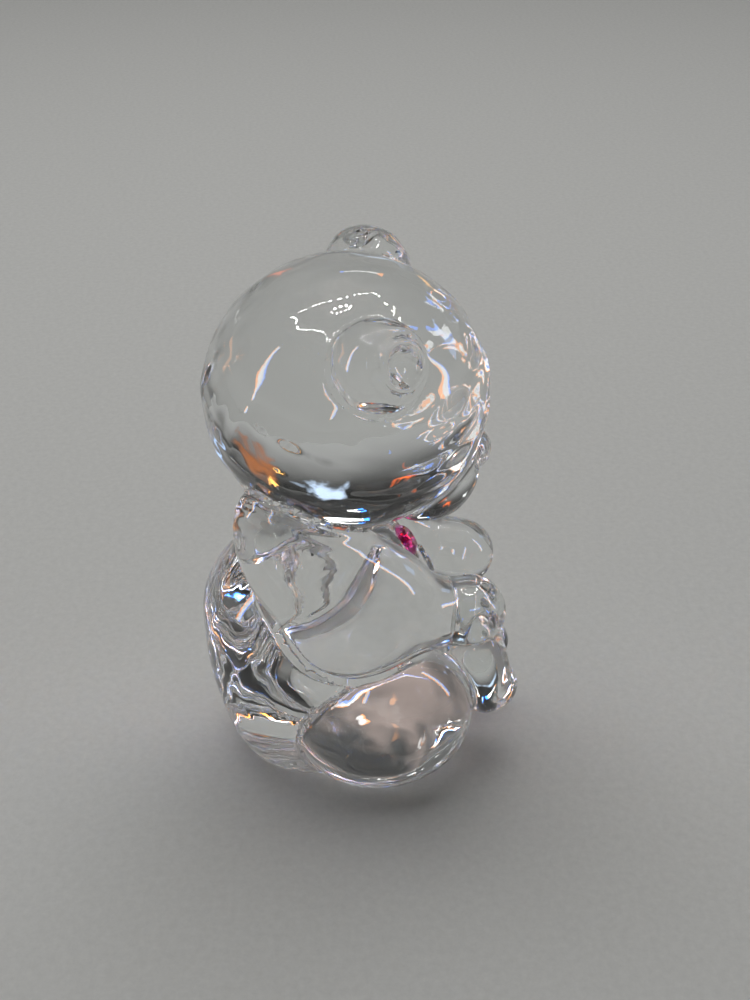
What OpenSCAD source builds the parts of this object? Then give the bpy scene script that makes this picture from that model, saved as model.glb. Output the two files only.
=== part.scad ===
// A seated bear figurine in solid crystal, with a faceted stone set in its chest.
// The bear faces -Y. The origin is the middle of the flat base, and +Z is up.

/* [Body] */
// Radius of the flat base from front to back
base_r = 14.5; // [12:0.5:17]
// Height of the widest part of the body
body_z = 25; // [22:0.5:28]
// Half width of the body
body_rx = 19.5; // [18:0.5:22]
// Half depth of the body
body_ry = 19.7; // [17.5:0.1:24]
// Height of the shoulders above the widest part of the body
body_top = 16; // [14:0.5:19]
// Half width of the chest
chest_rx = 14; // [12:0.5:16]
// How far the chest reaches in front of the middle of the base
chest_forward = 16.7; // [15:0.1:18.5]
// Height of the middle of the chest
chest_z = 31; // [29:0.5:32]
// Half depth of the chest
chest_ry = 13.5; // [12:0.1:16.5]
// Half height of the chest
chest_rz = 12; // [10.5:0.1:13.5]

/* [Head] */
// Height of the neck above the base
neck_z = 47; // [42:0.5:50]
// How far the bottom of the head reaches below the neck
head_sink = 3.2; // [2:0.1:5]
// How far the middle of the head sits in front of the middle of the base
head_forward = 4.7; // [3:0.1:6.5]
// Half width of the head
head_rx = 23.2; // [19:0.1:28]
// Half depth of the head from brow to nape
head_ry = 22.5; // [19:0.1:28]
// Half height of the head
head_rz = 21.2; // [18:0.1:25.5]

/* [Ears] */
// Radius of an ear
ear_r = 7.1; // [5.8:0.1:8.5]
// Lean of an ear away from the top of the head
ear_angle = 53; // [40:1:60]
// How far an ear sits in front of the middle of the head
ear_forward = 4.1; // [0:0.1:8]
// Turn of the cupped face of an ear away from straight ahead
ear_turn = 54; // [30:1:70]
// Tilt of the cupped face of an ear upwards
ear_tilt = 20; // [0:1:35]
// Radius of the mouth of the cup
cup_r = 3.3; // [2.5:0.1:4.5]
// Depth of the cup below its mouth
cup_depth = 1.5; // [0.8:0.1:2]

/* [Face] */
// Half width of the muzzle
muzzle_rx = 9.8; // [8:0.1:12]
// Half depth and half height of the muzzle
muzzle_r = 9; // [7.5:0.1:11]
// How far the muzzle sits in front of the middle of the head
muzzle_forward = 12.2; // [10:0.1:14]
// How far the muzzle sits below the middle of the head
muzzle_drop = 13.6; // [10:0.1:15]
// Half width of the nose
nose_rx = 4.1; // [3:0.1:5]
// Half depth of the nose
nose_ry = 3; // [2.5:0.1:4]
// Half height of the nose
nose_rz = 3.4; // [2.8:0.1:4.2]
// How far the nose stands in front of the muzzle
nose_proud = 2.4; // [1:0.1:2.8]
// Height of the nose above the middle of the muzzle
nose_rise = 3.2; // [2:0.1:5]
// Half width of the space between the eyes
eye_x = 8.5; // [6.5:0.1:11]
// Height of the eyes above the middle of the muzzle
eye_rise = 11; // [9:0.1:14]
// Radius of an eye dimple
eye_r = 1.9; // [1.2:0.1:2.4]
// Depth of an eye dimple
eye_depth = 0.6; // [0.3:0.1:1]

/* [Arms] */
// Half width between the upper arms
arm_x = 12.5; // [11:0.5:15]
// Half thickness of an upper arm from side to side
arm_rx = 9; // [7.5:0.5:10.5]
// Half width of an upper arm as seen from the side
arm_ry = 10.5; // [9:0.5:12.5]
// Half length of an upper arm
arm_rz = 17.5; // [15:0.5:20]
// Lean of an upper arm from upright
arm_lean = 31; // [20:1:40]
// Half width between the elbows
elbow_x = 14.5; // [13:0.5:17]
// How far the elbows sit in front of the middle of the base
elbow_forward = 4.9; // [3:0.1:8]
// Height of the elbows
elbow_z = 29.5; // [29:0.5:35]
// Radius of an elbow
elbow_r = 7.8; // [7.5:0.1:10]
// Radius of a forearm
forearm_r = 6.9; // [5.8:0.1:8]
// Half width between the paws
paw_x = 9; // [7.5:0.5:11]
// Height of the paws
paw_z = 29; // [27:0.5:33]
// How far the paws sit in front of the middle of the base
paw_forward = 24.2; // [22:0.1:26.5]
// Radius of a paw
paw_r = 6; // [5:0.1:7]

/* [Legs] */
// Half width between the thighs
thigh_x = 13.5; // [11.5:0.5:15]
// How far the middle of a thigh sits in front of the middle of the base
thigh_forward = 9.6; // [7:0.1:11]
// Height of the middle of a thigh
thigh_z = 11.8; // [10.4:0.1:12.4]
// Half width of a thigh
thigh_rx = 10.2; // [8.5:0.5:12]
// Half length of a thigh
thigh_ry = 15.2; // [14:0.1:19]
// Half height of a thigh
thigh_rz = 12.6; // [11.9:0.1:14]
// Rise of a thigh towards the knee
thigh_rise = 16; // [5:1:28]
// Radius of a shin
shin_r = 6.6; // [6:0.1:8]
// Half width of the lap between the thighs
lap_rx = 12; // [10:0.5:14]
// How far the lap reaches in front of the middle of the base
lap_forward = 22; // [19:0.5:24]
// Half depth of the lap
lap_ry = 11; // [9:0.5:13]
// Height of the middle of the lap
lap_z = 8; // [6:0.5:10]
// Half height of the lap
lap_rz = 17; // [15:0.5:19]
// Half width between the feet
foot_x = 6.4; // [5:0.1:8]
// How far the middle of a foot sits in front of the middle of the base
foot_forward = 26.6; // [24:0.1:28.5]
// Height of the middle of a foot
foot_z = 16; // [14:0.5:18]
// Half width of a foot
foot_rx = 5.4; // [4.5:0.1:6.5]
// Half thickness of a foot from sole to instep
foot_ry = 5; // [4:0.1:6]
// Half height of a foot from heel to toe
foot_rz = 9.4; // [8:0.1:11]
// Radius of a heel
heel_r = 4.3; // [3.5:0.1:5]

/* [Stone] */
// Width of the stone across its girdle
stone_d = 6; // [4.5:0.1:7.5]
// Width of the table on top of the stone
table_d = 3.6; // [2.5:0.1:4]
// Height of the crown above the girdle
crown_h = 1.1; // [0.8:0.1:1.5]
// Thickness of the girdle
girdle_h = 0.4; // [0.3:0.05:0.8]
// Depth of the pavilion below the girdle
pavilion_h = 2.3; // [1.8:0.1:2.8]
// Number of main facets round the stone
stone_facets = 12; // [8:1:12]
// Height of the stone on the chest above the base
stone_z = 37.5; // [35:0.5:39]
// Thickness of the mirror foil behind the stone
foil_t = 0.15; // [0.1:0.05:0.3]
// Thickness of adhesive between the rim of the foil and the seat
glue_t = 0.2; // [0.15:0.05:0.5]
// Depth of the straight wall of the seat where it is shallowest
seat_sink = 0.3; // [0.15:0.05:0.6]

/* [Hidden] */
$fn = 64;

glass = "aliceblue";
// A cube that is larger than the figurine, to cut with.
cut_size = 200;
// The share of an upper arm's half length that lies above the elbow's middle.
arm_reach = 0.65;
// Lean of a sole back from upright.
foot_lean = 10;
// How far a heel stands in front of the sole, and above the lowest tip of the foot.
heel_proud = 1.6;
heel_rise = 1.2;
// How far a shin starts behind and inside the middle of a thigh, and ends below the middle of a foot.
shin_inset = [-2, -3, 0];
shin_drop = [0, 2, -3];
shin_tip = 2;

// The lower half of the body is a longer ellipsoid that runs down to the base circle.
body_drop = body_z / sqrt(1 - pow(base_r / body_ry, 2));

// Middles of the forms.
body_at = [0, 0, body_z];
chest_at = [0, chest_ry - chest_forward, chest_z];
lap_at = [0, lap_ry - lap_forward, lap_z];
head_at = [0, -head_forward, neck_z - head_sink + head_rz];
ear_at = head_at + [head_rx * sin(ear_angle), -ear_forward, head_rz * cos(ear_angle)];
muzzle_at = head_at + [0, -muzzle_forward, -muzzle_drop];
nose_at = muzzle_at + [0, nose_ry - nose_proud - ellipse(muzzle_r, nose_rise / muzzle_r), nose_rise];
elbow_at = [elbow_x, -elbow_forward, elbow_z];
arm_at = [
  arm_x,
  elbow_at.y + arm_reach * arm_rz * sin(arm_lean),
  elbow_at.z + arm_reach * arm_rz * cos(arm_lean),
];
paw_at = [paw_x, -paw_forward, paw_z];
thigh_at = [thigh_x, -thigh_forward, thigh_z];
foot_at = [foot_x, -foot_forward, foot_z];
heel_at = foot_at + [0, heel_r - foot_ry - heel_proud, heel_r - foot_rz + heel_rise];

// The eyes lie on the front of the head.
eye_z = muzzle_at.z + eye_rise;
eye_share = norm([eye_x / head_rx, (eye_z - head_at.z) / head_rz]);
eye_at = [eye_x, head_at.y - ellipse(head_ry, eye_share), eye_z];

// The stone lies on the chest, square to its surface.
stone_share = (stone_z - chest_at.z) / chest_rz;
stone_at = [0, chest_at.y - ellipse(chest_ry, stone_share), stone_z];
stone_lean = atan2(ellipse(1, stone_share) / chest_ry, stone_share / chest_rz);

// The foil is larger than the stone, and the seat is larger than the foil by the adhesive.
foil_r = stone_d / 2 + foil_t;
seat_r = foil_r + glue_t;
// The rounded chest falls away under the rim of the seat, so the girdle starts lower than that.
chest_fall = pow(seat_r, 2) / (2 * min(chest_rx, chest_ry, chest_rz));
girdle_z = -chest_fall - seat_sink;
// How far the cut of the seat runs out past the chest.
cut_over = 1;

// Distance from the axis of an ellipse to its edge, at a share of the other radius.
function ellipse(r, share) = r * sqrt(1 - pow(share, 2));

// Radius of the ball that cuts a dish of a given mouth radius and depth.
function dish_ball(mouth_r, depth) = (pow(mouth_r, 2) + pow(depth, 2)) / (2 * depth);

// Depth of a cone of a given rim that lies parallel to the pavilion of the stone.
function cone_depth(rim_r) = pavilion_h * rim_r / (stone_d / 2);

// An ellipsoid with its middle and its three radii, turned about its middle.
// The seam of its surface is at the back, clear of the forms on its sides.
module ball(at, r, turn = [0, 0, 0]) {
  translate(at) rotate(turn) scale(r) rotate([0, 0, 90]) sphere(1);
}

// A long ellipsoid that runs from one point to another, with its tips beyond both.
module limb(from, to, r, tip) {
  axis = to - from;
  length = norm(axis);
  ball((from + to) / 2, [r, r, length / 2 + tip], [0, acos(axis.z / length), atan2(axis.y, axis.x)]);
}

// A part on the +X side and its mirror image.
module both_sides() {
  children();
  mirror([1, 0, 0]) children();
}

// Everything above a height, for cutting.
module above(z) {
  translate([-cut_size / 2, -cut_size / 2, z]) cube(cut_size);
}

module torso() {
  intersection() {
    ball(body_at, [body_rx, body_ry, body_top]);
    above(body_z);
  }
  difference() {
    ball(body_at, [body_rx, body_ry, body_drop]);
    above(body_z);
  }
  ball(chest_at, [chest_rx, chest_ry, chest_rz]);
  ball(lap_at, [lap_rx, lap_ry, lap_rz]);
}

module ear() {
  mouth_y = ellipse(ear_r, cup_r / ear_r);
  dish_r = dish_ball(cup_r, cup_depth);
  difference() {
    ball(ear_at, [ear_r, ear_r, ear_r]);
    translate(ear_at) rotate([-ear_tilt, 0, ear_turn])
      translate([0, cup_depth - mouth_y - dish_r, 0]) sphere(dish_r);
  }
}

module eye_dish() {
  dish_r = dish_ball(eye_r, eye_depth);
  translate(eye_at) rotate([0, 0, atan2(eye_x / pow(head_rx, 2), (head_at.y - eye_at.y) / pow(head_ry, 2))])
    translate([0, eye_depth - dish_r, 0]) sphere(dish_r);
}

module head() {
  difference() {
    ball(head_at, [head_rx, head_ry, head_rz]);
    both_sides() eye_dish();
  }
  both_sides() ear();
  ball(muzzle_at, [muzzle_rx, muzzle_r, muzzle_r]);
  ball(nose_at, [nose_rx, nose_ry, nose_rz]);
}

module arm() {
  ball(arm_at, [arm_rx, arm_ry, arm_rz], [-arm_lean, 0, 0]);
  ball(elbow_at, [elbow_r, elbow_r, elbow_r]);
  limb(elbow_at, paw_at, forearm_r, forearm_r / 2);
  ball(paw_at, [paw_r, paw_r, paw_r]);
}

module leg() {
  ball(thigh_at, [thigh_rx, thigh_ry, thigh_rz], [-thigh_rise, 0, 0]);
  limb(thigh_at + shin_inset, foot_at + shin_drop, shin_r, shin_tip);
  ball(foot_at, [foot_rx, foot_ry, foot_rz], [-foot_lean, 0, 0]);
  ball(heel_at, [heel_r, heel_r, heel_r]);
}

// Stands at the bottom of the girdle, with +Z along the stone's axis.
module at_girdle() {
  translate(stone_at) rotate([stone_lean, 0, 0]) translate([0, 0, girdle_z]) children();
}

// The space of the seat: a straight wall above the girdle's bottom and a cone below it.
module seat_space(wall_h) {
  rotate_extrude() polygon([[0, wall_h], [seat_r, wall_h], [seat_r, 0], [0, -cone_depth(seat_r)]]);
}

// A point-down cone with as many sides as the stone.
module facet_cone(rim_r) {
  mirror([0, 0, 1]) cylinder(h = cone_depth(rim_r), r1 = rim_r, r2 = 0, $fn = stone_facets);
}

module bear_casting() {
  color(glass, 0.4) difference() {
    union() {
      torso();
      head();
      both_sides() arm();
      both_sides() leg();
    }
    translate([0, 0, -cut_size / 2]) cube(cut_size, center = true);
    at_girdle() seat_space(cut_over - girdle_z);
  }
}

module chest_stone() {
  color("deeppink") at_girdle() {
    cylinder(h = girdle_h, d = stone_d, $fn = stone_facets);
    translate([0, 0, girdle_h]) cylinder(h = crown_h, d1 = stone_d, d2 = table_d, $fn = stone_facets);
    facet_cone(stone_d / 2);
  }
}

module stone_foil() {
  color("silver") at_girdle() difference() {
    facet_cone(foil_r);
    facet_cone(stone_d / 2);
  }
}

module stone_adhesive() {
  color("whitesmoke", 0.5) at_girdle() difference() {
    seat_space(seat_sink);
    facet_cone(foil_r);
    cylinder(h = girdle_h + cut_over, d = stone_d, $fn = stone_facets);
  }
}

bear_casting();
chest_stone();
stone_foil();
stone_adhesive();
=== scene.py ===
"""Looks of a pressed crystal teddy bear that sits on its base and carries a pink stone on its chest.

The bear is one lump of clear glass. Its skin is drawn from overlapping ellipsoids, and every crease
between them is rounded as a flame polish leaves it. The stone, its mirror foil and its adhesive are
separate pieces in a conical seat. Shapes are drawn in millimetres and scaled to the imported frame.
"""

import logging
import math
from collections.abc import Callable, Iterable
from dataclasses import dataclass, field
from enum import Enum

import bmesh
import bpy
import numpy as np
from mathutils import Matrix, Vector


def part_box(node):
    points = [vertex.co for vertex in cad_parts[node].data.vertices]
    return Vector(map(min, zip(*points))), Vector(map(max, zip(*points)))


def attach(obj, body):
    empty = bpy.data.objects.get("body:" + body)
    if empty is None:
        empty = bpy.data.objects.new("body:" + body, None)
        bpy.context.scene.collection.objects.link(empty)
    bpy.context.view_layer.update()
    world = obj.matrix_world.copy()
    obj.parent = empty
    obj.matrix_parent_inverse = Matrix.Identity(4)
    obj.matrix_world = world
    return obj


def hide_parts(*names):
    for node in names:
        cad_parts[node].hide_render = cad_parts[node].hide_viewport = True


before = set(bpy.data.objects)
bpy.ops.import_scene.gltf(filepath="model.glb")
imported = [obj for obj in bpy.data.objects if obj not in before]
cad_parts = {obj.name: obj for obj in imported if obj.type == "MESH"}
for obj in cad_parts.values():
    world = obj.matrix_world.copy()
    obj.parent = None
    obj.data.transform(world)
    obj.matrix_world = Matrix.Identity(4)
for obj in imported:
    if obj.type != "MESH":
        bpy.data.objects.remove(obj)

BODY = "root"
DRAWN_HEIGHT = 86.2
LOG = logging.getLogger("crystal_bear")


def linear(colour: str) -> tuple[float, float, float, float]:
    """Turn an sRGB hex colour into the linear values that shaders use.

    Args:
        colour: Six hex digits, such as "F2F4F3".

    Returns:
        Linear red, green and blue with an alpha of 1.
    """
    shares = [int(colour[at : at + 2], 16) / 255 for at in (0, 2, 4)]
    red, green, blue = (s / 12.92 if s <= 0.04045 else ((s + 0.055) / 1.055) ** 2.4 for s in shares)
    return (red, green, blue, 1.0)


def add_node(
    tree: bpy.types.NodeTree, kind: str, settings: dict | None = None, **sockets: object
) -> bpy.types.Node:
    """Add a shader node with its settings, values and links.

    Args:
        tree: The node tree that gets the node.
        kind: The node's type name, such as "ShaderNodeBump".
        settings: Attributes of the node, by name.
        **sockets: A value or an output socket for each input, with spaces written as underscores.

    Returns:
        The new node.
    """
    node = tree.nodes.new(kind)
    for name, value in (settings or {}).items():
        setattr(node, name, value)
    for name, value in sockets.items():
        plug = node.inputs[name.replace("_", " ")]
        if isinstance(value, bpy.types.NodeSocket):
            tree.links.new(value, plug)
        else:
            plug.default_value = value
    return node


def new_material(
    name: str,
) -> tuple[bpy.types.Material, bpy.types.NodeTree, bpy.types.Node, bpy.types.NodeSocket]:
    """Make a node material with a Principled shader, its output and the object's own coordinates.

    Args:
        name: The material's name.

    Returns:
        The material, its node tree, its Principled node and the coordinates' socket.
    """
    material = bpy.data.materials.new(name)
    material.use_nodes = True
    tree = material.node_tree
    place = add_node(tree, "ShaderNodeTexCoord").outputs["Object"]
    return material, tree, tree.nodes["Principled BSDF"], place


@dataclass(frozen=True)
class LeadCrystal:
    """Flame-polished lead crystal: water clear and glossy, with faint waves and a little haze."""

    tint: str = "FCFEFD"
    ior: float = 1.55
    clean: float = 0.0
    hazy: float = 0.035
    haze_mm: float = 14.0
    wave_mm: float = 5.0
    wave_height_mm: float = 0.05

    def material(self, unit: float) -> bpy.types.Material:
        """Build the material.

        Args:
            unit: Metres for one drawn millimetre.

        Returns:
            The finished material.
        """
        material, tree, glass, place = new_material("flame_polished_lead_crystal")
        glass.inputs["Base Color"].default_value = linear(self.tint)
        glass.inputs["Transmission Weight"].default_value = 1.0
        glass.inputs["IOR"].default_value = self.ior
        patches = 1 / (self.haze_mm * unit)
        touch = add_node(tree, "ShaderNodeTexNoise", Vector=place, Scale=patches, Detail=4.0, Roughness=0.6)
        haze = add_node(
            tree,
            "ShaderNodeMapRange",
            {"interpolation_type": "SMOOTHSTEP"},
            Value=touch.outputs["Fac"],
            From_Min=0.52,
            From_Max=0.78,
            To_Min=self.clean,
            To_Max=self.hazy,
        )
        tree.links.new(haze.outputs["Result"], glass.inputs["Roughness"])
        wave = add_node(tree, "ShaderNodeTexNoise", Vector=place, Scale=1 / (self.wave_mm * unit), Detail=1.0)
        depth = self.wave_height_mm * unit
        bump = add_node(tree, "ShaderNodeBump", Height=wave.outputs["Fac"], Strength=0.6, Distance=depth)
        tree.links.new(bump.outputs["Normal"], glass.inputs["Normal"])
        return material


@dataclass(frozen=True)
class PinkStoneGlass:
    """Machine-cut pink glass: clean flat facets and a deep rose body colour."""

    colour: str = "FF5CB4"
    ior: float = 1.55
    clean: float = 0.0
    worn: float = 0.03
    wear_mm: float = 1.2

    def material(self, unit: float) -> bpy.types.Material:
        """Build the material.

        Args:
            unit: Metres for one drawn millimetre.

        Returns:
            The finished material.
        """
        material, tree, glass, place = new_material("cut_pink_glass")
        glass.inputs["Base Color"].default_value = linear(self.colour)
        glass.inputs["Transmission Weight"].default_value = 1.0
        glass.inputs["IOR"].default_value = self.ior
        wear = add_node(tree, "ShaderNodeTexNoise", Vector=place, Scale=1 / (self.wear_mm * unit), Detail=3.0)
        rub = add_node(
            tree,
            "ShaderNodeMapRange",
            Value=wear.outputs["Fac"],
            From_Min=0.5,
            From_Max=0.8,
            To_Min=self.clean,
            To_Max=self.worn,
        )
        tree.links.new(rub.outputs["Result"], glass.inputs["Roughness"])
        return material


@dataclass(frozen=True)
class MirrorFoil:
    """Silvered foil with a fine rolled grain, which throws light back through the stone."""

    colour: str = "E9E7EA"
    roughness: float = 0.14
    grain_mm: float = 0.25
    spread: float = 0.4

    def material(self, unit: float) -> bpy.types.Material:
        """Build the material.

        Args:
            unit: Metres for one drawn millimetre.

        Returns:
            The finished material.
        """
        material, tree, metal, place = new_material("silvered_mirror_foil")
        metal.inputs["Base Color"].default_value = linear(self.colour)
        metal.inputs["Metallic"].default_value = 1.0
        fineness = 1 / (self.grain_mm * unit)
        grain = add_node(tree, "ShaderNodeTexNoise", Vector=place, Scale=fineness, Detail=2.0)
        rolled = add_node(
            tree,
            "ShaderNodeMapRange",
            Value=grain.outputs["Fac"],
            To_Min=self.roughness * (1 - self.spread),
            To_Max=self.roughness * (1 + self.spread),
        )
        tree.links.new(rolled.outputs["Result"], metal.inputs["Roughness"])
        return material


@dataclass(frozen=True)
class ClearAdhesive:
    """Cured clear adhesive: faintly warm, less glossy than the glass and slightly uneven."""

    tint: str = "F7F4EC"
    ior: float = 1.5
    roughness: float = 0.18
    ripple_mm: float = 0.8
    ripple_height_mm: float = 0.05

    def material(self, unit: float) -> bpy.types.Material:
        """Build the material.

        Args:
            unit: Metres for one drawn millimetre.

        Returns:
            The finished material.
        """
        material, tree, resin, place = new_material("cured_clear_adhesive")
        resin.inputs["Base Color"].default_value = linear(self.tint)
        resin.inputs["Transmission Weight"].default_value = 1.0
        resin.inputs["IOR"].default_value = self.ior
        resin.inputs["Roughness"].default_value = self.roughness
        ripple = add_node(tree, "ShaderNodeTexNoise", Vector=place, Scale=1 / (self.ripple_mm * unit))
        depth = self.ripple_height_mm * unit
        bump = add_node(tree, "ShaderNodeBump", Height=ripple.outputs["Fac"], Strength=0.5, Distance=depth)
        tree.links.new(bump.outputs["Normal"], resin.inputs["Normal"])
        return material


def fixed(x: float, y: float, z: float) -> Vector:
    """Give a dataclass field a vector of its own as its default, in millimetres or metres.

    Args:
        x: First value.
        y: Second value.
        z: Third value.

    Returns:
        The field.
    """
    return field(default_factory=lambda: Vector((x, y, z)))


def cube(size: float) -> Vector:
    """Give a vector with three equal values."""
    return Vector((size,) * 3)


def turn_x(degrees: float) -> Matrix:
    """Give the turn about the X axis by an angle in degrees."""
    return Matrix.Rotation(math.radians(degrees), 3, "X")


def turn_z(degrees: float) -> Matrix:
    """Give the turn about the Z axis by an angle in degrees."""
    return Matrix.Rotation(math.radians(degrees), 3, "Z")


def join_softly(first: np.ndarray, second: np.ndarray, crease: float) -> np.ndarray:
    """Join two shapes given as distances, with a rounded crease.

    Args:
        first: Distances to the first shape, negative inside it.
        second: Distances to the second shape.
        crease: Width over which the two surfaces run into each other.

    Returns:
        Distances to the joined shape.
    """
    near = np.maximum(crease - np.abs(first - second), 0) / crease
    return np.minimum(first, second) - near**2 * crease / 4


def cut_softly(shape: np.ndarray, cutter: np.ndarray, edge: float) -> np.ndarray:
    """Take one shape out of another, with a rounded edge.

    Args:
        shape: Distances to the shape that is cut.
        cutter: Distances to the shape that is taken out.
        edge: Width over which the edge of the cut is rounded.

    Returns:
        Distances to what is left.
    """
    return -join_softly(-shape, cutter, edge)


def press_line(shape: np.ndarray, first: np.ndarray, second: np.ndarray, radius: float) -> np.ndarray:
    """Press a fine groove into a shape where two of its forms meet.

    Args:
        shape: Distances to the shape.
        first: Distances to one of the two forms.
        second: Distances to the other form.
        radius: Radius of the groove.

    Returns:
        Distances to the grooved shape.
    """
    return cut_softly(shape, np.hypot(first, second) - radius, radius * 0.8)


@dataclass(frozen=True)
class Lobe:
    """An ellipsoid of glass with its middle, its radii and its turn, in millimetres.

    A drop is a second half height for what lies below the middle. A lobe off the middle plane stands
    for itself and its mirror image.
    """

    at: Vector
    radii: Vector
    turn: Matrix = field(default_factory=lambda: Matrix.Identity(3))
    drop: float | None = None
    crease: float = 1.4

    def distances(self, points: np.ndarray) -> np.ndarray:
        """Measure how far points lie from the lobe.

        Args:
            points: Points on the +X side, one in each row.

        Returns:
            A distance for each point, negative inside and exact on the surface.
        """
        local = (points - np.array(self.at)) @ np.array(self.turn)
        radii = np.tile(np.array(self.radii), (len(local), 1))
        if self.drop is not None:
            radii[local[:, 2] < 0, 2] = self.drop
        shares = np.linalg.norm(local / radii, axis=1)
        slopes = np.maximum(np.linalg.norm(local / radii**2, axis=1), 1e-6)
        return shares * (shares - 1) / slopes

    def add_to(self, bm: bmesh.types.BMesh) -> None:
        """Add the lobe, and its mirror image where it has one, as rough balls.

        Args:
            bm: The mesh that gets the balls.
        """
        for side in (1, -1) if self.at.x > 0 else (1,):
            ball = bmesh.ops.create_icosphere(bm, subdivisions=4, radius=1)["verts"]
            bmesh.ops.scale(bm, verts=ball, vec=self.radii)
            if self.drop is not None:
                low = [vert for vert in ball if vert.co.z < 0]
                bmesh.ops.scale(bm, verts=low, vec=(1, 1, self.drop / self.radii.z))
            bmesh.ops.rotate(bm, verts=ball, matrix=self.turn)
            bmesh.ops.translate(bm, verts=ball, vec=self.at)
            if side < 0:
                bmesh.ops.scale(bm, verts=ball, vec=(-1, 1, 1))
                bmesh.ops.reverse_faces(bm, faces=list({face for vert in ball for face in vert.link_faces}))


def joined(lobes: list[Lobe], points: np.ndarray) -> np.ndarray:
    """Join a row of lobes into one form.

    Args:
        lobes: The lobes in order; each is joined to those before it by its own crease.
        points: Points on the +X side.

    Returns:
        Distances to the form.
    """
    form = lobes[0].distances(points)
    for lobe in lobes[1:]:
        form = join_softly(form, lobe.distances(points), lobe.crease)
    return form


def limb(start: Vector, end: Vector, radius: float, tip: float, crease: float = 1.4) -> Lobe:
    """Draw a long lobe that runs from one point to another.

    Args:
        start: Where the limb starts.
        end: Where it ends.
        radius: Its radius in the middle.
        tip: How far it reaches past both points.
        crease: Width of the crease where it meets the other lobes.

    Returns:
        The lobe.
    """
    along = end - start
    return Lobe(
        (start + end) / 2,
        Vector((radius, radius, along.length / 2 + tip)),
        along.to_track_quat("Z", "Y").to_matrix(),
        crease=crease,
    )


@dataclass(frozen=True)
class Torso:
    """The rounded body on its flat base, the chest and the lap."""

    base_r: float = 14.5
    body_z: float = 25.0
    body_r: Vector = fixed(19.5, 19.7, 16.0)
    chest_at: Vector = fixed(0, -3.2, 31.0)
    chest_r: Vector = fixed(14.0, 13.5, 12.0)
    lap_at: Vector = fixed(0, -11.0, 8.0)
    lap_r: Vector = fixed(12.0, 11.0, 17.0)

    def lobes(self) -> list[Lobe]:
        """List the torso's lobes."""
        drop = self.body_z / math.sqrt(1 - (self.base_r / self.body_r.y) ** 2)
        return [
            Lobe(Vector((0, 0, self.body_z)), self.body_r, drop=drop),
            Lobe(self.chest_at, self.chest_r),
            Lobe(self.lap_at, self.lap_r),
        ]


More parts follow.
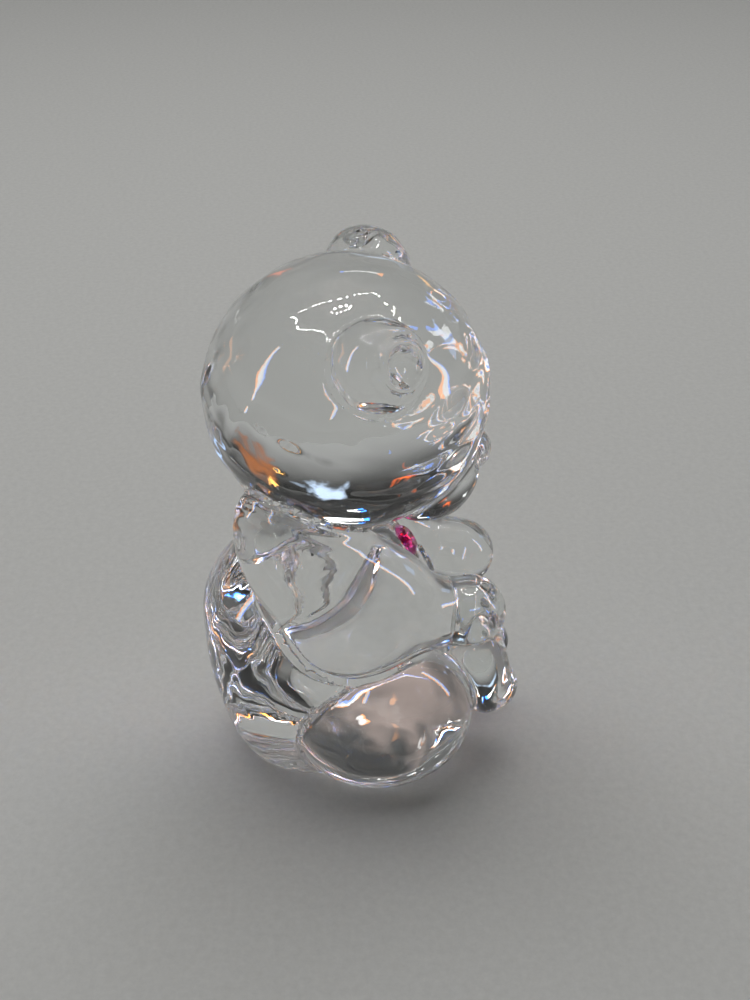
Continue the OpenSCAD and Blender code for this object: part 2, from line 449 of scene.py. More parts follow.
@dataclass(frozen=True)
class Head:
    """The round head with its muzzle, nose, mouth, eyes and dished ears."""

    at: Vector = fixed(0, -4.7, 65.0)
    radii: Vector = fixed(23.2, 22.5, 21.2)
    muzzle_at: Vector = fixed(0, -16.9, 51.4)
    muzzle_r: Vector = fixed(9.8, 9.0, 9.0)
    nose_at: Vector = fixed(0, -24.7, 54.6)
    nose_r: Vector = fixed(4.1, 3.0, 3.4)
    mouth_r: float = 3.6
    mouth_z: float = 51.0
    mouth_sweep: float = 62.0
    mouth_groove: float = 0.55
    eye_x: float = 8.5
    eye_z: float = 62.4
    eye_r: float = 1.9
    eye_depth: float = 0.6
    ear_at: Vector = fixed(18.53, -8.8, 77.76)
    ear_r: float = 7.1
    ear_turn: float = 54.0
    ear_tilt: float = 20.0
    cup_r: float = 3.2
    cup_depth: float = 2.0
    groove_at: float = 4.7
    groove_r: float = 0.7
    ear_line: float = 0.55
    eye_edge: float = 0.5
    fine_edge: float = 0.4
    muzzle_crease: float = 1.8
    fine_crease: float = 0.7

    def dish(self, middle: Vector, outward: Vector, mouth_r: float, depth: float) -> Lobe:
        """Draw the ball that presses a dish into a surface.

        Args:
            middle: Middle of the dish's mouth.
            outward: Direction that the dish faces.
            mouth_r: Radius of the mouth.
            depth: Depth of the dish.

        Returns:
            The ball as a lobe.
        """
        ball_r = (mouth_r**2 + depth**2) / (2 * depth)
        return Lobe(middle + outward.normalized() * (ball_r - depth), cube(ball_r))

    def ear_groove(self, points: np.ndarray, facing: Vector) -> np.ndarray:
        """Measure distances to the ring groove that leaves a raised rim about the ear's dish.

        Args:
            points: Points on the +X side.
            facing: Direction that the dish faces.

        Returns:
            Distances to the groove's tube.
        """
        local = points - np.array(self.ear_at)
        along = local @ np.array(facing)
        across = np.linalg.norm(local - along[:, None] * np.array(facing), axis=1)
        reach = math.sqrt(self.ear_r**2 - self.groove_at**2)
        return np.hypot(across - self.groove_at, along - reach) - self.groove_r

    def mouth(self, points: np.ndarray, skin: np.ndarray) -> np.ndarray:
        """Measure distances to the smile, a fine groove that lies in the muzzle's skin.

        Args:
            points: Points on the +X side.
            skin: Distances of the points from the muzzle's skin.

        Returns:
            Distances to the groove's tube.
        """
        across = points[:, 0]
        below = self.mouth_z + self.mouth_r - points[:, 2]
        angle = np.clip(np.arctan2(across, below), 0, math.radians(self.mouth_sweep))
        off_arc = np.hypot(across - self.mouth_r * np.sin(angle), below - self.mouth_r * np.cos(angle))
        line_z = np.clip(points[:, 2], self.mouth_z, self.nose_at.z)
        off_line = np.hypot(across, points[:, 2] - line_z)
        behind = np.maximum(points[:, 1] - self.muzzle_at.y, 0)
        planar = np.minimum(off_arc, off_line) + behind
        return np.hypot(planar, skin) - self.mouth_groove

    def distances(self, points: np.ndarray) -> np.ndarray:
        """Measure distances to the whole head.

        Args:
            points: Points on the +X side.

        Returns:
            Distances, negative inside.
        """
        skull = Lobe(self.at, self.radii).distances(points)
        across = self.eye_x / self.radii.x
        rise = (self.eye_z - self.at.z) / self.radii.z
        eye = Vector((self.eye_x, self.at.y - self.radii.y * math.sqrt(1 - across**2 - rise**2), self.eye_z))
        outward = Vector(((eye - self.at)[axis] / self.radii[axis] ** 2 for axis in range(3)))
        eye_dish = self.dish(eye, outward, self.eye_r, self.eye_depth)
        skull = cut_softly(skull, eye_dish.distances(points), self.eye_edge)

        facing = turn_z(self.ear_turn) @ turn_x(-self.ear_tilt) @ Vector((0, -1, 0))
        mouth_y = math.sqrt(self.ear_r**2 - self.cup_r**2)
        cup = self.dish(self.ear_at + facing * mouth_y, facing, self.cup_r, self.cup_depth)
        ear = Lobe(self.ear_at, cube(self.ear_r)).distances(points)
        ear = cut_softly(ear, self.ear_groove(points, facing), self.fine_edge)
        ear = cut_softly(ear, cup.distances(points), self.fine_edge)

        muzzle = Lobe(self.muzzle_at, self.muzzle_r).distances(points)
        muzzle = cut_softly(muzzle, self.mouth(points, muzzle), self.fine_edge)
        nose = Lobe(self.nose_at, self.nose_r).distances(points)

        face = join_softly(skull, muzzle, self.muzzle_crease)
        face = join_softly(face, nose, self.fine_crease)
        return press_line(join_softly(face, ear, self.fine_crease), face, ear, self.ear_line)

    def lobes(self) -> list[Lobe]:
        """List the head's lobes, before the dishes and the mouth are pressed in."""
        return [
            Lobe(self.at, self.radii),
            Lobe(self.muzzle_at, self.muzzle_r),
            Lobe(self.nose_at, self.nose_r),
            Lobe(self.ear_at, cube(self.ear_r)),
        ]


@dataclass(frozen=True)
class Arms:
    """The two arms, each one smooth form from the shoulder round the elbow to the paw."""

    upper_at: Vector = fixed(12.7, 0.7, 39.8)
    upper_r: Vector = fixed(8.6, 10.2, 18.0)
    lean: float = 31.0
    elbow_at: Vector = fixed(14.8, -4.4, 29.0)
    elbow_r: Vector = fixed(7.0, 9.6, 7.2)
    sleeve_at: Vector = fixed(12.6, -8.4, 35.4)
    sleeve_r: Vector = fixed(8.3, 8.6, 8.0)
    forearm_start: Vector = fixed(13.6, -6.0, 31.6)
    forearm_r: float = 6.3
    paw_at: Vector = fixed(9.0, -24.2, 29.0)
    paw_r: float = 5.9
    bend: float = 5.0
    wrist: float = 1.6

    def lobes(self) -> list[Lobe]:
        """List the arms' lobes from shoulder to paw, on the +X side."""
        return [
            Lobe(self.upper_at, self.upper_r, turn_x(-self.lean)),
            Lobe(self.elbow_at, self.elbow_r, crease=self.bend),
            limb(self.forearm_start, self.paw_at, self.forearm_r, self.forearm_r / 2, crease=self.bend),
            Lobe(self.sleeve_at, self.sleeve_r, crease=self.bend),
            Lobe(self.paw_at, cube(self.paw_r), crease=self.wrist),
        ]


@dataclass(frozen=True)
class Legs:
    """The two legs, spread with the thighs on the table and the soles raised to the front."""

    thigh_at: Vector = fixed(13.3, -9.6, 11.8)
    thigh_r: Vector = fixed(10.2, 15.0, 13.4)
    rise: float = 9.0
    shin_start: Vector = fixed(11.5, -11.2, 11.8)
    shin_end: Vector = fixed(6.4, -24.6, 13.0)
    shin_r: float = 6.6
    shin_tip: float = 2.0
    foot_at: Vector = fixed(6.4, -26.6, 16.0)
    foot_r: Vector = fixed(5.4, 5.0, 9.4)
    sole_lean: float = 10.0
    heel_at: Vector = fixed(6.4, -28.9, 12.1)
    heel_r: float = 4.2
    shin_crease: float = 2.0
    foot_crease: float = 1.0
    heel_crease: float = 0.8

    def lobes(self) -> list[Lobe]:
        """List the legs' lobes, on the +X side."""
        return [
            Lobe(self.thigh_at, self.thigh_r, turn_x(-self.rise)),
            limb(self.shin_start, self.shin_end, self.shin_r, self.shin_tip, crease=self.shin_crease),
            Lobe(self.foot_at, self.foot_r, turn_x(-self.sole_lean), crease=self.foot_crease),
            Lobe(self.heel_at, cube(self.heel_r), crease=self.heel_crease),
        ]


@dataclass(frozen=True)
class StoneSeat:
    """Where the stone lies on the chest, and the conical seat cut for it."""

    at: Vector = fixed(0, -14.55, 37.5)
    lean: float = 54.06
    girdle_z: float = -0.768
    seat_r: float = 3.35
    wall_h: float = 0.3
    slope: float = 2.3 / 3
    run_out: float = 1.8

    def placing(self) -> Matrix:
        """Give the transform that stands at the girdle, with +Z out of the chest."""
        turn = turn_x(self.lean).to_4x4()
        return Matrix.Translation(self.at) @ turn @ Matrix.Translation((0, 0, self.girdle_z))


def spun(profile: Iterable[tuple[float, float]], steps: int) -> bmesh.types.BMesh:
    """Turn a closed outline about the Z axis into a solid.

    Args:
        profile: Points of the outline as radius and height, in order.
        steps: Number of faces round the axis.

    Returns:
        The solid as a new mesh, with its normals outward.
    """
    bm = bmesh.new()
    verts = [bm.verts.new((radius, 0, height)) for radius, height in profile]
    edges = [bm.edges.new((verts[at - 1], verts[at])) for at in range(len(verts))]
    bmesh.ops.spin(
        bm,
        geom=verts + edges,
        cent=(0, 0, 0),
        axis=(0, 0, 1),
        angle=math.tau,
        steps=steps,
        use_merge=True,
    )
    bmesh.ops.remove_doubles(bm, verts=bm.verts, dist=1e-4)
    bmesh.ops.dissolve_degenerate(bm, edges=bm.edges, dist=1e-4)
    bmesh.ops.recalc_face_normals(bm, faces=bm.faces)
    return bm


def placed(bm: bmesh.types.BMesh, name: str, place: Matrix, unit: float, smooth: bool) -> bpy.types.Object:
    """Move a mesh to its place in the frame and make an object of it.

    Args:
        bm: The mesh in millimetres, which is freed.
        name: The piece's name.
        place: Its place, in millimetres.
        unit: Metres for one drawn millimetre.
        smooth: Whether its faces are shaded smooth.

    Returns:
        The new object, at the origin.
    """
    bmesh.ops.transform(bm, matrix=place, verts=bm.verts)
    bmesh.ops.scale(bm, verts=bm.verts, vec=(unit,) * 3)
    for face in bm.faces:
        face.smooth = smooth
    mesh = bpy.data.meshes.new(name)
    bm.to_mesh(mesh)
    bm.free()
    obj = bpy.data.objects.new(name, mesh)
    bpy.context.scene.collection.objects.link(obj)
    return obj


def baked(obj: bpy.types.Object) -> bpy.types.Mesh:
    """Give an object's mesh with its modifiers applied, as a new mesh."""
    graph = bpy.context.evaluated_depsgraph_get()
    return bpy.data.meshes.new_from_object(obj.evaluated_get(graph))


@dataclass
class BearCasting:
    """The glass bear itself, one lump with the seat of the stone cut in its chest."""

    torso: Torso = field(default_factory=Torso)
    head: Head = field(default_factory=Head)
    arms: Arms = field(default_factory=Arms)
    legs: Legs = field(default_factory=Legs)
    seat: StoneSeat = field(default_factory=StoneSeat)
    finish: LeadCrystal = field(default_factory=LeadCrystal)
    voxel: float = 0.5
    base_edge: float = 1.2
    neck_crease: float = 0.9
    arm_crease: float = 0.9
    leg_crease: float = 0.9
    neck_line: float = 0.5
    arm_line: float = 0.65
    leg_line: float = 0.45
    fold_pitch: float = 2.2
    fold_reach: float = 3.0
    fold_height: float = 0.09
    ripple: float = 0.02
    head_ripple: float = 0.14
    wave_lengths: tuple[float, ...] = (15.0, 9.5, 6.0)
    head_starts: float = 46.0
    head_blend: float = 8.0
    probe: float = 0.02
    relaxes: int = 3
    sharp: float = 50.0

    def skin(self, points: np.ndarray) -> np.ndarray:
        """Measure distances to the whole bear.

        Args:
            points: Points anywhere, one in each row, in millimetres.

        Returns:
            Distances, negative inside.
        """
        side = points.copy()
        side[:, 0] = np.abs(side[:, 0])
        trunk = joined(self.torso.lobes(), side)
        legs = joined(self.legs.lobes(), side)
        arms = joined(self.arms.lobes(), side)
        head = self.head.distances(side)
        body = press_line(join_softly(trunk, legs, self.leg_crease), trunk, legs, self.leg_line)
        body = press_line(join_softly(body, arms, self.arm_crease), body, arms, self.arm_line)
        body = body + self.neck_folds(side, head)
        shape = press_line(join_softly(body, head, self.neck_crease), body, head, self.neck_line)
        return cut_softly(shape, points[:, 2], self.base_edge) + self.waves(points)

    def neck_folds(self, points: np.ndarray, head: np.ndarray) -> np.ndarray:
        """Give the fine parallel folds that the plunger leaves in the glass under the head.

        Args:
            points: Points on the +X side.
            head: Their distances from the head.

        Returns:
            A height for each point, which fades out away from the neck.
        """
        fade = np.exp(-((head / self.fold_reach) ** 2)) * np.clip((points[:, 1] + 16) / 6, 0, 1)
        return self.fold_height * np.cos(math.tau * head / self.fold_pitch) * fade

    def waves(self, points: np.ndarray) -> np.ndarray:
        """Give the low waves that pressing and the flame leave in the skin.

        Args:
            points: Points in millimetres.

        Returns:
            A height for each point, which fades out towards the flat base.
        """
        total = np.zeros(len(points))
        for turn, length in enumerate(self.wave_lengths):
            tilt = Matrix.Rotation(0.7 + 1.9 * turn, 3, Vector((1, turn - 1, 0.6)))
            bands = (points @ np.array(tilt)) * (math.tau / length)
            total += np.sin(bands[:, 0]) * np.sin(bands[:, 1] + turn) * length / self.wave_lengths[0]
        in_head = np.clip((points[:, 2] - self.head_starts) / self.head_blend, 0, 1)
        height = self.ripple + (self.head_ripple - self.ripple) * in_head
        return total * height * np.clip(points[:, 2] / 3, 0, 1)

    def settle(self, mesh: bpy.types.Mesh, passes: int) -> None:
        """Move a mesh's vertices onto the skin, a few Newton steps along its slope.

        Args:
            mesh: The mesh, in millimetres.
            passes: Number of steps.
        """
        flat = np.empty(len(mesh.vertices) * 3)
        mesh.vertices.foreach_get("co", flat)
        points = flat.reshape(-1, 3)
        for _ in range(passes):
            here = self.skin(points)
            slope = np.empty_like(points)
            for axis in range(3):
                step = np.zeros(3)
                step[axis] = self.probe
                rise = self.skin(points + step) - self.skin(points - step)
                slope[:, axis] = rise / (2 * self.probe)
            length = np.maximum((slope**2).sum(axis=1), 0.05)
            points -= np.clip(here / length, -self.voxel, self.voxel)[:, None] * slope
        points[:, 2] = np.maximum(points[:, 2], 0)
        mesh.vertices.foreach_set("co", points.ravel())
        mesh.update()

    def relax(self, mesh: bpy.types.Mesh) -> None:
        """Even out the spacing of a mesh's vertices.

        Args:
            mesh: The mesh, in millimetres.
        """
        bm = bmesh.new()
        bm.from_mesh(mesh)
        axes = {"use_axis_x": True, "use_axis_y": True, "use_axis_z": True}
        bmesh.ops.smooth_vert(bm, verts=bm.verts, factor=0.5, **axes)
        bm.to_mesh(mesh)
        bm.free()

    def lump(self) -> bpy.types.Object:
        """Join rough balls for every lobe into one even skin above the table.

        Returns:
            The lump, in millimetres.
        """
        bm = bmesh.new()
        for lobe in self.torso.lobes() + self.head.lobes() + self.arms.lobes() + self.legs.lobes():
            lobe.add_to(bm)
        everything = bm.verts[:] + bm.edges[:] + bm.faces[:]
        bmesh.ops.bisect_plane(bm, geom=everything, plane_co=(0, 0, 0), plane_no=(0, 0, -1), clear_outer=True)
        bmesh.ops.holes_fill(bm, edges=[edge for edge in bm.edges if edge.is_boundary], sides=0)
        mesh = bpy.data.meshes.new("rough_lump")
        bm.to_mesh(mesh)
        bm.free()
        lump = bpy.data.objects.new("rough_lump", mesh)
        bpy.context.scene.collection.objects.link(lump)
        remesh = lump.modifiers.new("Skin", "REMESH")
        remesh.mode = "VOXEL"
        remesh.voxel_size = self.voxel * 1
        remesh.adaptivity = 0.0
        lump.data = baked(lump)
        lump.modifiers.clear()
        return lump

    def cut_seat(self, lump: bpy.types.Object) -> None:
        """Cut the conical seat for the stone.

        Args:
            lump: The settled lump, in millimetres.
        """
        seat = self.seat
        tip = -seat.slope * seat.seat_r
        outline = ((0, seat.run_out), (seat.seat_r, seat.run_out), (seat.seat_r, 0), (0, tip))
        cutter = placed(spun(outline, 96), "seat_cutter", seat.placing(), 1.0, False)
        cut = lump.modifiers.new("Seat", "BOOLEAN")
        cut.operation = "DIFFERENCE"
        cut.solver = "EXACT"
        cut.object = cutter
        lump.data = baked(lump)
        lump.modifiers.clear()
        bpy.data.objects.remove(cutter)

    def build(self, unit: float) -> bpy.types.Object:
        """Build and dress the casting.

        Args:
            unit: Metres for one drawn millimetre.

        Returns:
            The finished piece.
        """
        lump = self.lump()
        self.settle(lump.data, 4)
        for _ in range(self.relaxes):
            self.relax(lump.data)
            self.settle(lump.data, 2)
        self.cut_seat(lump)
        bm = bmesh.new()
        bm.from_mesh(lump.data)
        bpy.data.objects.remove(lump)
        casting = placed(bm, "crystal_bear", Matrix.Identity(4), unit, True)
        casting.data.set_sharp_from_angle(angle=math.radians(self.sharp))
        casting.data.materials.append(self.finish.material(unit))
        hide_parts("bear_casting")
        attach(casting, BODY)
        return casting


class Side(Enum):
    """The two sides of the girdle that facets are ground on."""

    CROWN = 1
    PAVILION = -1


@dataclass(frozen=True)
class FacetRow:
    """A ring of flat facets, all at one angle from the table.

    The ring's planes pass through a circle of a given radius at a given height.
    """

    side: Side
    count: int
    offset: float
    angle: float
    radius: float
    height: float

    def planes(self) -> list[tuple[Vector, Vector]]:
        """List a point and an outward normal for each facet."""
        planes = []
        for turn in range(self.count):
            around = math.tau * (turn + self.offset) / self.count
            out = Vector((math.cos(around), math.sin(around), 0))
            tilt = math.radians(self.angle)
            normal = out * math.sin(tilt) + Vector((0, 0, self.side.value * math.cos(tilt)))
            planes.append((out * self.radius + Vector((0, 0, self.height)), normal))
        return planes


@dataclass
class ChestStone:
    """A round stone with a table, a faceted crown, a thin girdle and a faceted pavilion."""

    seat: StoneSeat = field(default_factory=StoneSeat)
    finish: PinkStoneGlass = field(default_factory=PinkStoneGlass)
    girdle_r: float = 2.9
    girdle_h: float = 0.4
    table_r: float = 1.8
    crown_h: float = 1.1
    pavilion_h: float = 2.2
    fold: int = 8

    def rows(self) -> list[FacetRow]:
        """List the rings of facets in the order in which they are ground."""
        main = math.degrees(math.atan2(self.crown_h, self.girdle_r - self.table_r))
        back = math.degrees(math.atan2(self.pavilion_h, self.girdle_r))
        top = self.girdle_h + self.crown_h
        return [
            FacetRow(Side.PAVILION, self.fold, 0.5, back, self.girdle_r, 0),
            FacetRow(Side.PAVILION, self.fold * 2, 0.5, back + 3, self.girdle_r, 0),
            FacetRow(Side.CROWN, self.fold, 0.5, main, self.girdle_r, self.girdle_h),
            FacetRow(Side.CROWN, self.fold * 2, 0.5, main + 6, self.girdle_r, self.girdle_h),
            FacetRow(Side.CROWN, self.fold, 0.0, main * 0.6, self.table_r, top),
        ]

    def grind(self, bm: bmesh.types.BMesh, point: Vector, normal: Vector) -> None:
        """Grind one flat facet.

        Args:
            bm: The stone, which stays closed.
            point: A point on the facet's plane.
            normal: The plane's outward normal.
        """
        everything = bm.verts[:] + bm.edges[:] + bm.faces[:]
        cut = bmesh.ops.bisect_plane(
            bm,
            geom=everything,
            dist=1e-5,
            plane_co=point,
            plane_no=normal,
            clear_outer=True,
        )
        rim = [item for item in cut["geom_cut"] if isinstance(item, bmesh.types.BMEdge)]
        if rim:
            bmesh.ops.edgeloop_fill(bm, edges=rim)

    def build(self, unit: float) -> bpy.types.Object:
        """Cut and dress the stone.

        Args:
            unit: Metres for one drawn millimetre.

        Returns:
            The finished piece.
        """
        bm = bmesh.new()
        top = self.girdle_h + self.crown_h
        bmesh.ops.create_cone(
            bm,
            cap_ends=True,
            segments=self.fold * 4,
            radius1=self.girdle_r,
            radius2=self.girdle_r,
            depth=self.pavilion_h + top,
        )
        bmesh.ops.translate(bm, verts=bm.verts, vec=(0, 0, (top - self.pavilion_h) / 2))
        for row in self.rows():
            for point, normal in row.planes():
                self.grind(bm, point, normal)
        bmesh.ops.remove_doubles(bm, verts=bm.verts, dist=1e-4)
        bmesh.ops.recalc_face_normals(bm, faces=bm.faces)
        stone = placed(bm, "pink_chest_stone", self.seat.placing(), unit, False)
        stone.data.materials.append(self.finish.material(unit))
        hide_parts("chest_stone")
        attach(stone, BODY)
        return stone


@dataclass
class StoneFoil:
    """A thin silvered cone that wraps the back of the stone."""

    seat: StoneSeat = field(default_factory=StoneSeat)
    finish: MirrorFoil = field(default_factory=MirrorFoil)
    inner_r: float = 2.96
    thickness: float = 0.12

    def build(self, unit: float) -> bpy.types.Object:
        """Form and dress the foil.

        Args:
            unit: Metres for one drawn millimetre.

        Returns:
            The finished piece.
        """
        outer_r = self.inner_r + self.thickness
        slope = self.seat.slope
        outline = ((0, -slope * self.inner_r), (self.inner_r, 0), (outer_r, 0), (0, -slope * outer_r))
        foil = placed(spun(outline, 48), "mirror_foil_cone", self.seat.placing(), unit, True)
        foil.data.set_sharp_from_angle(angle=math.radians(30))
        foil.data.materials.append(self.finish.material(unit))
        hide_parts("stone_foil")
        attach(foil, BODY)
        return foil


@dataclass
class StoneAdhesive:
    """Clear adhesive that fills the seat behind the foil and rises to a small lip round the girdle."""

    seat: StoneSeat = field(default_factory=StoneSeat)
    finish: ClearAdhesive = field(default_factory=ClearAdhesive)
    foil_r: float = 3.08
    stone_r: float = 2.9
    gap: float = 0.02

    def build(self, unit: float) -> bpy.types.Object:
        """Pour and dress the adhesive.

        Args:
            unit: Metres for one drawn millimetre.

        Returns:
            The finished piece.
        """
        slope = self.seat.slope
        inner_r = self.foil_r + self.gap
        outer_r = self.seat.seat_r - self.gap
        lip = self.seat.wall_h
        outline = (
            (0, -slope * inner_r),
            (inner_r, 0),
            (self.stone_r + self.gap, self.gap),
            (self.stone_r + self.gap, lip + 0.06),
            (self.stone_r + 0.16, lip - 0.06),
            (outer_r - 0.08, lip - 0.04),
            (outer_r, lip + 0.02),
            (outer_r, 0),
            (0, -slope * outer_r),
        )
        adhesive = placed(spun(outline, 64), "clear_adhesive_ring", self.seat.placing(), unit, True)
        adhesive.data.set_sharp_from_angle(angle=math.radians(40))
        adhesive.data.materials.append(self.finish.material(unit))
        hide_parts("stone_adhesive")
        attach(adhesive, BODY)
        return adhesive


@dataclass(frozen=True)
class Softbox:
    """A rectangular studio light that faces the bear.

    A fringe is the width of a warm and a cool strip along its two long edges. Their images in the glass
    stand for the way that lead crystal spreads white light into colours.
    """

    name: str
    at: Vector
    size: tuple[float, float]
    radiance: float
    colour: str = "FFFFFF"
    fringe: float = 0.0
    lights_table: bool = False
    warm: str = "FF9A3A"
    cool: str = "3A86FF"
    edge_gain: float = 1.5

    def panel(
        self, name: str, size: tuple[float, float], colour: str, radiance: float, lights_table: bool
    ) -> bpy.types.Object:
        """Make one glowing rectangle.

        Args:
            name: The light's name.
            size: Its width and height in metres.
            colour: Its colour.
            radiance: How bright each point of it looks.
            lights_table: Whether its light also falls on the table.

        Returns:
            The light, not yet in place.
        """
        lamp = bpy.data.lights.new(name, "AREA")
        lamp.shape = "RECTANGLE"
        lamp.size, lamp.size_y = size
        lamp.energy = radiance * math.pi * size[0] * size[1]
        lamp.color = linear(colour)[:3]
        light = bpy.data.objects.new(name, lamp)
        bpy.context.scene.collection.objects.link(light)
        light.visible_camera = False
        light.visible_diffuse = lights_table
        return light

    def build(self, aim: Vector) -> None:
        """Hang the light with its strips.

        Args:
            aim: The point that it faces.
        """
        width, height = self.size
        parts = [(self.panel(self.name, self.size, self.colour, self.radiance, self.lights_table), 0.0)]
        if self.fringe > 0:
            edge = self.radiance * self.edge_gain
            for side, colour in ((-1, self.warm), (1, self.cool)):
                strip = self.panel(f"{self.name}_edge", (self.fringe, height), colour, edge, False)
                parts.append((strip, side * (width + self.fringe) / 2))
        turn = (aim - self.at).to_track_quat("-Z", "Y")
        for light, across in parts:
            light.location = self.at + turn @ Vector((across, 0, 0))
            light.rotation_mode = "QUATERNION"
            light.rotation_quaternion = turn


def glow(name: str, colour: str, strength: float) -> bpy.types.Material:
    """Make a material that only gives light.

    Args:
        name: The material's name.
        colour: Its colour.
        strength: How bright it looks.

    Returns:
        The material.
    """
    material = bpy.data.materials.new(name)
    material.use_nodes = True
    tree = material.node_tree
    tree.nodes.clear()
    lit = add_node(tree, "ShaderNodeEmission", Color=linear(colour), Strength=strength)
    add_node(tree, "ShaderNodeOutputMaterial", Surface=lit.outputs["Emission"])
    return material


def feather(material: bpy.types.Material, middle: Vector, reach: float, ragged: float) -> None:
    """Let a glowing material fade out round a point, with a soft ragged edge.

    Args:
        material: The material, made by glow.
        middle: The point that it fades away from.
        reach: How far from the point it is gone.
        ragged: Size of the raggedness of its edge.
    """
    tree = material.node_tree
    lit = tree.nodes["Emission"]
    place = add_node(tree, "ShaderNodeTexCoord").outputs["Object"]
    off = add_node(tree, "ShaderNodeVectorMath", {"operation": "DISTANCE"})
    tree.links.new(place, off.inputs[0])
    off.inputs[1].default_value = middle
    cloud = add_node(tree, "ShaderNodeTexNoise", Vector=place, Scale=1 / ragged, Detail=2.0)
    wobble = add_node(tree, "ShaderNodeMath", {"operation": "MULTIPLY_ADD"})
    tree.links.new(cloud.outputs["Fac"], wobble.inputs[0])
    wobble.inputs[1].default_value = reach * 1.6
    tree.links.new(off.outputs["Value"], wobble.inputs[2])
    fade = add_node(
        tree,
        "ShaderNodeMapRange",
        {"interpolation_type": "SMOOTHSTEP"},
        Value=wobble.outputs["Value"],
        From_Min=reach * 0.9,
        From_Max=reach * 1.5,
        To_Min=1.0,
        To_Max=0.0,
    )
    clear = add_node(tree, "ShaderNodeBsdfTransparent")
    mix = add_node(tree, "ShaderNodeMixShader")
    tree.links.new(fade.outputs["Result"], mix.inputs[0])
    tree.links.new(clear.outputs[0], mix.inputs[1])
    tree.links.new(lit.outputs[0], mix.inputs[2])
    tree.links.new(mix.outputs[0], tree.nodes["Material Output"].inputs["Surface"])


def grade(material: bpy.types.Material, low: float, high: float) -> None:
    """Let a glowing material fade from full at one height to dark at another.

    Args:
        material: The material, made by glow.
        low: Where it is brightest.
        high: Where it is dark.
    """
    tree = material.node_tree
    lit = tree.nodes["Emission"]
    place = add_node(tree, "ShaderNodeTexCoord").outputs["Object"]
    height = add_node(tree, "ShaderNodeSeparateXYZ", Vector=place).outputs["Z"]
    fade = add_node(
        tree,
        "ShaderNodeMapRange",
        {"interpolation_type": "SMOOTHSTEP"},
        Value=height,
        From_Min=low,
        From_Max=high,
        To_Min=lit.inputs["Strength"].default_value,
        To_Max=0.012,
    )
    tree.links.new(fade.outputs["Result"], lit.inputs["Strength"])


def seen_in_glass_only(obj: bpy.types.Object) -> bpy.types.Object:
    """Hide a studio piece from the camera and the table, so that it only shows in the glass."""
    obj.visible_camera = False
    obj.visible_diffuse = False
    obj.visible_shadow = False
    return obj


@dataclass(frozen=True)
class Card:
    """A board round the bear that shows in the glass as a plain tone.

    A feathered card fades out towards its edges, and a graded one towards its top.
    """

    name: str
    at: Vector
    size: tuple[float, float]
    colour: str
    strength: float
    feathered: bool = False
    graded: bool = False
    flat: bool = False

    def build(self, aim: Vector) -> None:
        """Stand the board facing the bear, or lay it level over the bear.

        Args:
            aim: The point that it faces.
        """
        bm = bmesh.new()
        bmesh.ops.create_grid(bm, x_segments=1, y_segments=1, size=0.5)
        bmesh.ops.scale(bm, verts=bm.verts, vec=(*self.size, 1))
        facing = (Vector((aim.x, aim.y, self.at.z)) - self.at).to_track_quat("Z", "Y").to_matrix().to_4x4()
        if self.flat:
            facing = Matrix.Identity(4)
        card = placed(bm, self.name, Matrix.Translation(self.at) @ facing, 1.0, False)
        tone = glow(f"{self.name}_tone", self.colour, self.strength)
        if self.feathered:
            feather(tone, self.at, min(self.size) / 2, min(self.size) / 5)
        if self.graded:
            grade(tone, self.at.z - self.size[1] / 2, self.at.z + self.size[1] / 2)
        card.data.materials.append(tone)
        seen_in_glass_only(card)


@dataclass(frozen=True)
class LampLoop:
    """A loop of small lamps on a hoop over the table, which shows on the glass as beaded lines."""

    middle: Vector = fixed(0.02, 0.05, 0.72)
    corners: tuple[tuple[float, float], ...] = (
        (-0.18, -0.34),
        (0.2, -0.4),
        (0.24, 0.4),
        (0.02, 0.3),
        (-0.26, 0.08),
    )
    spacing: float = 0.032
    bead_r: float = 0.007
    strength: float = 90.0

    def build(self) -> None:
        """Hang the lamps."""
        bm = bmesh.new()
        turns = [Vector((x, y, 0)) for x, y in self.corners]
        for at, end in enumerate(turns):
            start = turns[at - 1]
            steps = round((end - start).length / self.spacing)
            for step in range(steps):
                spot = Matrix.Translation(self.middle + start.lerp(end, step / steps))
                bmesh.ops.create_icosphere(bm, subdivisions=1, radius=self.bead_r, matrix=spot)
        lamps = placed(bm, "lamp_loop", Matrix.Identity(4), 1.0, True)
        lamps.data.materials.append(glow("lamp_bead", "FFFFFF", self.strength))
        seen_in_glass_only(lamps)


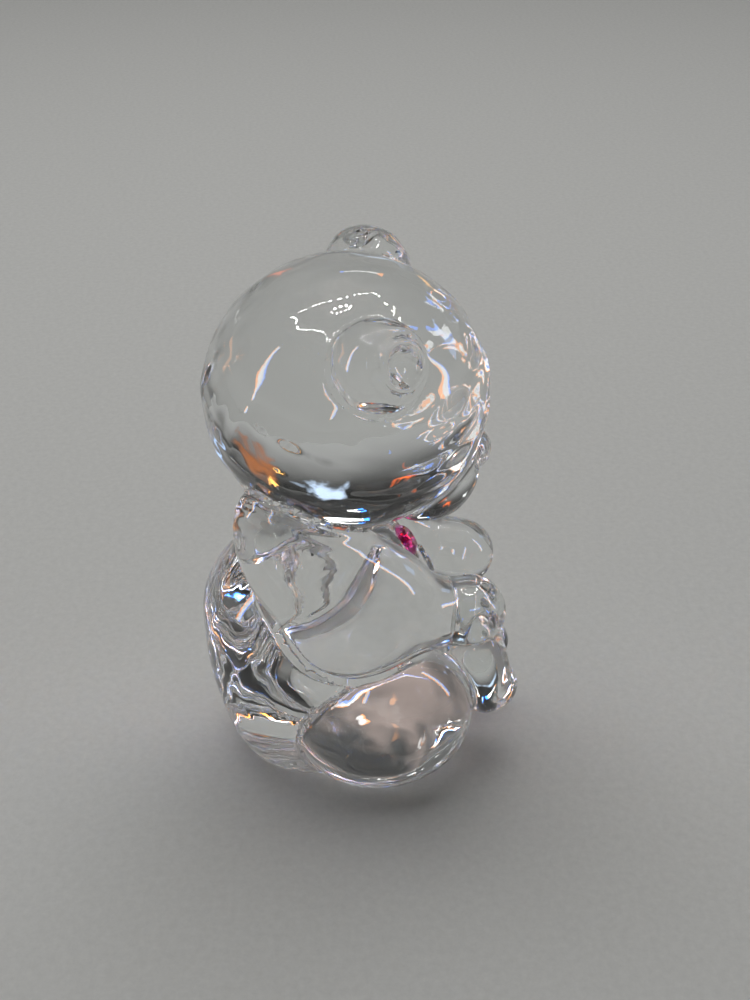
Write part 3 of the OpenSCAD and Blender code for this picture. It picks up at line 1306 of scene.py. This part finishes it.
@dataclass
class Studio:
    """The pale table, the soft lights, the dim room and the camera."""

    aim: Vector = fixed(0, -0.0092, 0.045)
    azimuth: float = -93.0
    elevation: float = 30.0
    distance: float = 0.262
    lens: float = 58.0
    table_r: float = 4.0
    table_gap: float = 0.0001
    bounces: int = 24
    clamp: float = 8.0
    lights: tuple[Softbox, ...] = (
        Softbox("left_strip", Vector((-0.05, 0.7, 0.35)), (0.05, 0.6), 8.0, fringe=0.02),
        Softbox("right_strip", Vector((-0.1, -0.7, 0.4)), (0.05, 0.6), 8.0, fringe=0.02),
        Softbox("front_strip", Vector((-0.75, 0.25, 0.5)), (0.04, 0.3), 8.0, fringe=0.015),
        Softbox("back_strip", Vector((0.7, -0.1, 0.5)), (0.2, 0.04), 4.0, fringe=0.03),
        Softbox("warm_strip", Vector((0.35, 0.6, 0.12)), (0.22, 0.14), 2.0, "FFA24A"),
        Softbox("cool_strip", Vector((0.3, -0.6, 0.3)), (0.12, 0.16), 3.0, "A9CBFF"),
    )
    fill: Softbox = Softbox("table_fill", Vector((0.25, 0.05, 0.8)), (0.9, 0.6), 2.5, lights_table=True)
    cards: tuple[Card, ...] = (
        Card("horizon_card", Vector((0.35, 0.0, 0.07)), (1.2, 0.14), "F2F2F0", 0.45, graded=True),
        Card("canopy_card", Vector((0.4, 0.05, 0.8)), (1.4, 1.1), "F4DED6", 0.5, True, flat=True),
        Card("brown_card", Vector((0.33, -0.2, 0.11)), (0.26, 0.18), "B8703F", 1.0, True),
        Card("amber_card", Vector((0.32, -0.17, 0.14)), (0.12, 0.07), "FFC060", 3.0, True),
        Card("rose_card", Vector((0.32, 0.08, 0.11)), (0.2, 0.07), "FF7A40", 1.4, True),
        Card("cool_card", Vector((0.32, -0.06, 0.12)), (0.12, 0.14), "CFE4FF", 1.4, True),
        Card("white_card", Vector((0.32, 0.22, 0.12)), (0.08, 0.1), "FFFFFF", 1.6, True),
    )

    def table(self) -> bpy.types.Object:
        """Lay the pale matt table."""
        bm = bmesh.new()
        bmesh.ops.create_circle(bm, cap_ends=True, segments=96, radius=self.table_r)
        table = placed(bm, "table", Matrix.Translation((0, 0, -self.table_gap)), 1.0, False)
        material, tree, matt, place = new_material("pale_matt_laminate")
        fleck = add_node(tree, "ShaderNodeTexNoise", Vector=place, Scale=700.0, Detail=3.0, Roughness=0.7)
        tone = add_node(tree, "ShaderNodeMix", {"data_type": "RGBA"}, Factor=fleck.outputs["Fac"])
        tone.inputs["A"].default_value = linear("C9C9C6")
        tone.inputs["B"].default_value = linear("DEDEDB")
        tree.links.new(tone.outputs[2], matt.inputs["Base Color"])
        matt.inputs["Roughness"].default_value = 0.6
        matt.inputs["Specular IOR Level"].default_value = 0.0
        table.data.materials.append(material)
        return table

    def room(self) -> None:
        """Fill the room with a dim sky that is brighter overhead."""
        world = bpy.data.worlds.new("studio_room")
        world.use_nodes = True
        tree = world.node_tree
        back = tree.nodes["Background"]
        place = add_node(tree, "ShaderNodeTexCoord").outputs["Generated"]
        height = add_node(tree, "ShaderNodeSeparateXYZ", Vector=place).outputs["Z"]
        ramp = add_node(tree, "ShaderNodeValToRGB", Fac=height)
        tones = ((0.0, "9A9A98"), (0.14, "8A8A88"), (0.3, "2A2A2A"), (0.62, "1E1E1E"), (1.0, "6A6A6A"))
        ramp.color_ramp.elements.remove(ramp.color_ramp.elements[0])
        for at, tone in tones:
            stop = ramp.color_ramp.elements.new(at) if at < 1 else ramp.color_ramp.elements[-1]
            stop.position = at
            stop.color = linear(tone)
        tree.links.new(ramp.outputs["Color"], back.inputs["Color"])
        bpy.context.scene.world = world

    def camera(self) -> bpy.types.Object:
        """Stand the camera beside and above the bear.

        Returns:
            The camera, which becomes the scene's.
        """
        around, up = math.radians(self.azimuth), math.radians(self.elevation)
        back = Vector((math.sin(around) * math.cos(up), -math.cos(around) * math.cos(up), math.sin(up)))
        lens = bpy.data.cameras.new("camera")
        lens.lens = self.lens
        lens.clip_start = 0.01
        camera = bpy.data.objects.new("camera", lens)
        bpy.context.scene.collection.objects.link(camera)
        camera.location = self.aim + back * self.distance
        camera.rotation_mode = "QUATERNION"
        camera.rotation_quaternion = (-back).to_track_quat("-Z", "Y")
        bpy.context.scene.camera = camera
        return camera

    def build(self) -> None:
        """Set up everything round the bear."""
        self.camera()
        self.table()
        self.room()
        for hung in (*self.lights, *self.cards):
            hung.build(self.aim)
        self.fill.build(self.aim)
        bpy.data.objects[self.fill.name].visible_glossy = False
        bpy.data.objects[self.fill.name].visible_transmission = False
        LampLoop().build()
        scene = bpy.context.scene
        scene.view_settings.view_transform = "Standard"
        scene.cycles.max_bounces = self.bounces
        scene.cycles.transmission_bounces = self.bounces
        scene.cycles.glossy_bounces = self.bounces
        scene.cycles.sample_clamp_indirect = self.clamp


def report(piece: bpy.types.Object) -> None:
    """Log a piece's name and its number of triangles."""
    triangles = sum(len(face.vertices) - 2 for face in piece.data.polygons)
    LOG.info("%s: %d triangles", piece.name, triangles)


def main() -> None:
    """Build the studio and every piece."""
    logging.basicConfig(level=logging.INFO, format="%(message)s")
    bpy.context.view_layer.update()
    low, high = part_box("bear_casting")
    unit = (high.z - low.z) / DRAWN_HEIGHT
    Studio().build()
    builders: list[Callable[[float], bpy.types.Object]] = [
        BearCasting().build,
        ChestStone().build,
        StoneFoil().build,
        StoneAdhesive().build,
    ]
    for build in builders:
        report(build(unit))
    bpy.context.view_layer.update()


if __name__ == "__main__":
    main()
